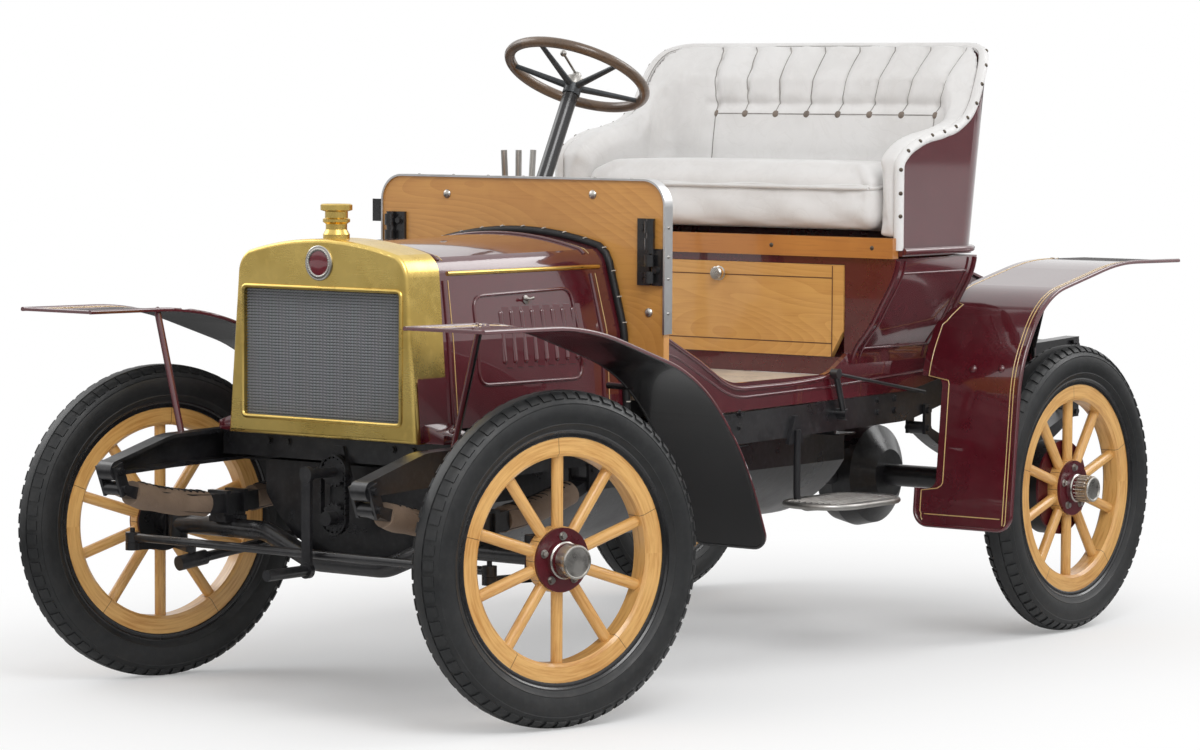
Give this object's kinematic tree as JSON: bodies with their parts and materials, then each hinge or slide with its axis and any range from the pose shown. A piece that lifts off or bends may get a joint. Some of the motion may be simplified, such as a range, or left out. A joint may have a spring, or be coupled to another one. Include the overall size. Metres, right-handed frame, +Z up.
{
  "type": "brass era car",
  "caption": "Open two-seat car with brass radiator, wooden spoked wheels, opening bonnet lid, locker flap and linked steering.",
  "frame": {"origin": "on the ground under the middle of the whole car", "axes": "+X forward, +Y to the car's left, +Z up"},
  "size_m": [3.0669, 1.5344, 1.5625],
  "materials": {
    "tyre": "black rubber",
    "spoke_wood": "varnished ash",
    "hub_metal": "gloss burgundy with nickel caps",
    "burgundy": "gloss burgundy",
    "black_metal": "gloss black",
    "steel": "worn steel",
    "brass": "polished",
    "core": "satin black fins",
    "board_wood": "varnished plywood",
    "edge_metal": "polished",
    "cream": "cream linoleum",
    "white_leather": "soft white",
    "iron": "engine castings"
  },
  "bodies": {
    "chassis": {"frame": "black_metal", "front_axle": "black_metal", "rear_axle": "black_metal", "front_springs": "black_metal", "rear_springs": "black_metal", "steering_column": "black_metal", "undershield": "black_metal", "engine": "iron", "propshaft": "black_metal", "radiator_shell": "brass", "radiator_core": "core", "bonnet_sides": "burgundy", "dash_board": "board_wood", "dash_trim": "edge_metal", "dash_brackets": "black_metal", "floor": "cream", "body_tub": "burgundy", "rear_deck": "burgundy", "seat_rail": "board_wood", "seat_shell": "burgundy", "seat_back": "white_leather", "seat_cushion": "white_leather", "front_fenders": "burgundy", "rear_fenders": "burgundy", "steps": "black_metal", "controls": "steel", "brake_linkage": "black_metal", "starting_crank": "black_metal"},
    "bonnet_lid": {"bonnet_lid": "burgundy"},
    "locker_flap": {"locker_flap": "board_wood"},
    "steering_wheel": {"steering_wheel": "black_metal"},
    "knuckle_left": {"knuckle_left": "black_metal"},
    "knuckle_right": {"knuckle_right": "black_metal"},
    "tie_rod": {"tie_rod": "black_metal"},
    "drag_link": {"drag_link": "black_metal"},
    "pitman_arm": {"pitman_arm": "black_metal"},
    "wheel_fl": {"tyre_front_left": "tyre", "wheel_front_left": "spoke_wood", "hub_front_left": "hub_metal"},
    "wheel_fr": {"tyre_front_right": "tyre", "wheel_front_right": "spoke_wood", "hub_front_right": "hub_metal"},
    "wheel_rl": {"tyre_rear_left": "tyre", "wheel_rear_left": "spoke_wood", "hub_rear_left": "hub_metal"},
    "wheel_rr": {"tyre_rear_right": "tyre", "wheel_rear_right": "spoke_wood", "hub_rear_right": "hub_metal"}
  },
  "joints": [
    {"name": "steer_left", "type": "hinge", "parent": "chassis", "child": "knuckle_left", "pos_m": [1.1085, 0.547, 0.38], "axis": [0, 0, 1], "range_deg": [-9, 41]},
    {"name": "steer_right", "type": "hinge", "parent": "chassis", "child": "knuckle_right", "pos_m": [1.1085, -0.547, 0.38], "axis": [0, 0, 1], "range_deg": [-9, 41]},
    {"name": "tie_rod_pin", "type": "hinge", "parent": "knuckle_left", "child": "tie_rod", "pos_m": [1.22962, 0.51227, 0.353], "axis": [0, 0, 1], "range_deg": [-41, 9]},
    {"name": "drag_link_pin", "type": "hinge", "parent": "knuckle_right", "child": "drag_link", "pos_m": [1.17013, -0.44816, 0.301], "axis": [0, 0, 1], "range_deg": [-41, 9]},
    {"name": "pitman_turn", "type": "hinge", "parent": "chassis", "child": "pitman_arm", "pos_m": [0.4085, -0.312, 0.58], "axis": [0, 1, 0], "range_deg": [-5.58, 25.42]},
    {"name": "hand_wheel_turn", "type": "hinge", "parent": "chassis", "child": "steering_wheel", "pos_m": [-0.05076, -0.226, 1.466], "axis": [-0.4602, 0, 0.8878], "range_deg": [-72, 328]},
    {"name": "wheel_fl_spin", "type": "hinge", "parent": "knuckle_left", "child": "wheel_fl", "pos_m": [1.13138, 0.62679, 0.38], "axis": [0.2756, 0.9613, 0], "continuous": true},
    {"name": "wheel_fr_spin", "type": "hinge", "parent": "knuckle_right", "child": "wheel_fr", "pos_m": [1.08562, -0.62679, 0.38], "axis": [0.2756, 0.9613, 0], "continuous": true},
    {"name": "wheel_rl_spin", "type": "hinge", "parent": "chassis", "child": "wheel_rl", "pos_m": [-1.0495, 0.656, 0.38], "axis": [0, 1, 0], "continuous": true},
    {"name": "wheel_rr_spin", "type": "hinge", "parent": "chassis", "child": "wheel_rr", "pos_m": [-1.0495, -0.656, 0.38], "axis": [0, 1, 0], "continuous": true},
    {"name": "bonnet_lid_hinge", "type": "hinge", "parent": "chassis", "child": "bonnet_lid", "pos_m": [0.7835, -0.263, 1.005], "axis": [0.9991, 0.0422, 0], "range_deg": [0, 95]},
    {"name": "locker_flap_hinge", "type": "hinge", "parent": "chassis", "child": "locker_flap", "pos_m": [-0.37183, 0, 0.748], "axis": [0, 1, 0], "range_deg": [0, 85]}
  ],
  "couplings": [
    {"joint": "steer_right", "follows": "steer_left", "ratio": 1},
    {"joint": "tie_rod_pin", "follows": "steer_left", "ratio": -1},
    {"joint": "drag_link_pin", "follows": "steer_left", "ratio": -0.96},
    {"joint": "pitman_turn", "follows": "steer_left", "ratio": 0.62},
    {"joint": "hand_wheel_turn", "follows": "steer_left", "ratio": 8}
  ]
}
